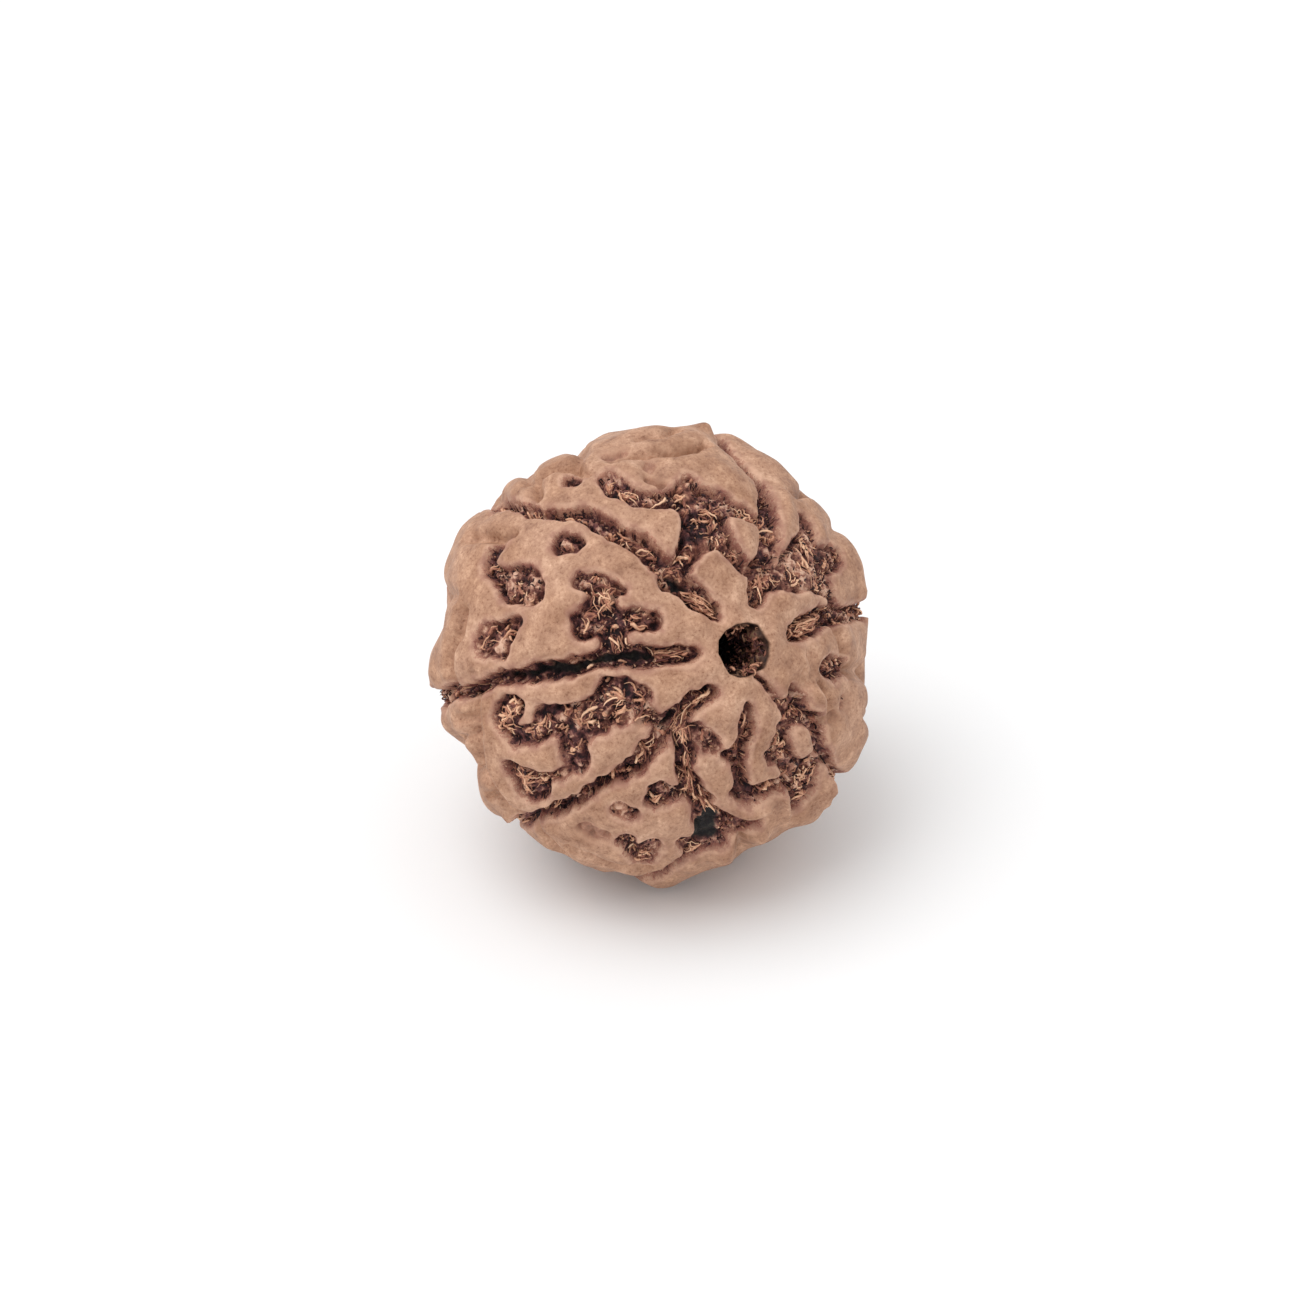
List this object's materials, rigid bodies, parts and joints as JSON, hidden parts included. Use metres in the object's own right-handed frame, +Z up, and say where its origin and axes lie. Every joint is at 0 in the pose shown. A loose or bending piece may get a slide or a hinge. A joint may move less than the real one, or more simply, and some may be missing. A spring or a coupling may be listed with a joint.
{
  "type": "rudraksha seed",
  "caption": "Round dried fruit stone with deep clefts from pole to pole, winding valleys and pits in a puffed skin, and a narrow string hole along its axis.",
  "frame": {"origin": "middle of the small flat spot that the seed rests on", "axes": "+Z up as the seed rests. The string hole lies in the YZ plane, and its near mouth faces -Y and looks up by 29.5 degrees. +X to the right as seen facing that mouth"},
  "size_m": [0.0221, 0.0204, 0.0212],
  "materials": {
    "dry_shell": "dry matt shell, darker and fibrous in its valleys"
  },
  "bodies": {
    "root": {"rudraksha_seed": "dry_shell"}
  },
  "joints": []
}
